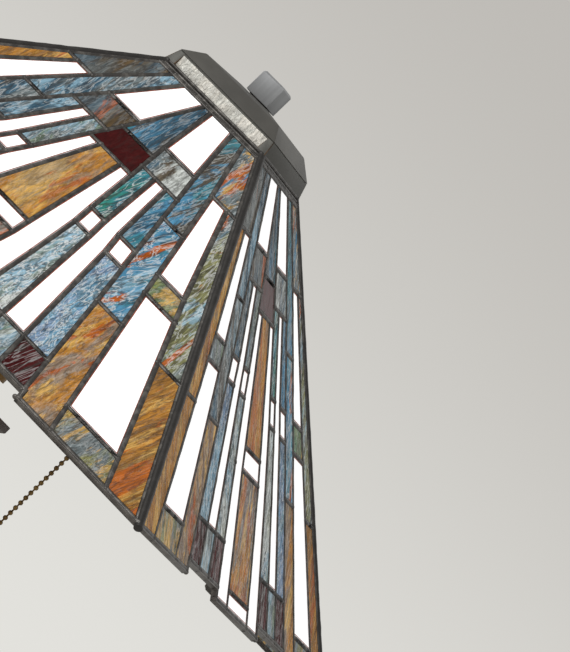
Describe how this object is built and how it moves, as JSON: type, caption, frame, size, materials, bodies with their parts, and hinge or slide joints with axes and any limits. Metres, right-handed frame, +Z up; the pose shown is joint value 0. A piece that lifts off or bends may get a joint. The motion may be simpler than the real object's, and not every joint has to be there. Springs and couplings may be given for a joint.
{
  "type": "table lamp",
  "caption": "Square stained glass table lamp: leaded sloping shade with notched rim, square metal crown and finial, on a tapered column base.",
  "frame": {"origin": "centre of the felt-covered foot, on the surface the lamp stands on", "axes": "+Z up, -Y towards the panel called front, +X to its right"},
  "size_m": [0.4688, 0.4688, 0.6314],
  "materials": {
    "leading": "satin",
    "rim_channel": "satin",
    "corner_leading": "satin",
    "white_glass": "gloss",
    "amber_glass": "gloss",
    "blue_glass": "gloss",
    "green_glass": "gloss",
    "red_glass": "gloss",
    "ivory_glass": "gloss",
    "crown_metal": "satin",
    "cap_metal": "satin",
    "steel": "satin",
    "finial_metal": "satin",
    "felt": "matte",
    "base_metal": "satin",
    "panel_metal": "satin",
    "iron": "rough",
    "antique_brass": "satin",
    "socket_brass": "satin",
    "chain_brass": "satin",
    "black_plastic": "matte",
    "bulb_cap_metal": "satin",
    "bulb_glass": "frosted"
  },
  "bodies": {
    "lamp": {"felt_pad": "felt", "plinth": "base_metal", "plinth_step": "base_metal", "ballast": "iron", "column": "base_metal", "column_panels": "panel_metal", "column_cap": "base_metal", "stem_tube": "antique_brass", "lamp_pipe": "antique_brass", "lock_nuts": "antique_brass", "cord_bushing": "black_plastic", "cluster": "antique_brass", "socket_left": "socket_brass", "socket_right": "socket_brass", "shade_rest": "antique_brass"},
    "shade": {"came_front": "leading", "came_right": "leading", "came_back": "leading", "came_left": "leading", "rim_front": "rim_channel", "rim_right": "rim_channel", "rim_back": "rim_channel", "rim_left": "rim_channel", "corner_came_1": "corner_leading", "corner_came_2": "corner_leading", "corner_came_3": "corner_leading", "corner_came_4": "corner_leading", "white_front": "white_glass", "white_right": "white_glass", "white_back": "white_glass", "white_left": "white_glass", "amber_front": "amber_glass", "amber_right": "amber_glass", "amber_back": "amber_glass", "amber_left": "amber_glass", "blue_front": "blue_glass", "blue_right": "blue_glass", "blue_back": "blue_glass", "blue_left": "blue_glass", "green_front": "green_glass", "green_right": "green_glass", "green_back": "green_glass", "green_left": "green_glass", "red_front": "red_glass", "red_right": "red_glass", "red_back": "red_glass", "red_left": "red_glass", "crown_band": "crown_metal", "crown_glass_front": "ivory_glass", "crown_glass_back": "ivory_glass", "crown_cap": "cap_metal", "crown_spider": "steel"},
    "finial_ring": {"finial_washer": "cap_metal"},
    "finial_block": {"finial": "finial_metal"},
    "bulb_left": {"bulb_base_left": "bulb_cap_metal", "bulb_glass_left": "bulb_glass"},
    "bulb_right": {"bulb_base_right": "bulb_cap_metal", "bulb_glass_right": "bulb_glass"},
    "chain_left": {"pull_chain_left": "chain_brass"},
    "chain_right": {"pull_chain_right": "chain_brass"}
  },
  "joints": [
    {"name": "shade_turn", "type": "hinge", "parent": "lamp", "child": "shade", "pos_m": [0, 0, 0.6], "axis": [0, 0, 1], "continuous": true},
    {"name": "finial_lift", "type": "slide", "parent": "lamp", "child": "finial_ring", "axis": [0, 0, 1], "range_m": [0, 0.0095]},
    {"name": "finial_turn", "type": "hinge", "parent": "finial_ring", "child": "finial_block", "pos_m": [0, 0, 0.62], "axis": [0, 0, 1], "range_deg": [0, 3600]},
    {"name": "bulb_turn_left", "type": "hinge", "parent": "lamp", "child": "bulb_left", "pos_m": [-0.057, 0, 0.44], "axis": [0, 0, 1], "range_deg": [0, 1440]},
    {"name": "bulb_turn_right", "type": "hinge", "parent": "lamp", "child": "bulb_right", "pos_m": [0.057, 0, 0.44], "axis": [0, 0, 1], "range_deg": [0, 1440]},
    {"name": "chain_pull_left", "type": "slide", "parent": "lamp", "child": "chain_left", "axis": [0, 0, -1], "range_m": [0, 0.008], "stiffness_N_per_m": 600},
    {"name": "chain_pull_right", "type": "slide", "parent": "lamp", "child": "chain_right", "axis": [0, 0, -1], "range_m": [0, 0.008], "stiffness_N_per_m": 600}
  ],
  "couplings": [
    {"joint": "finial_lift", "follows": "finial_turn", "m_per_rad": 0.00014972}
  ]
}
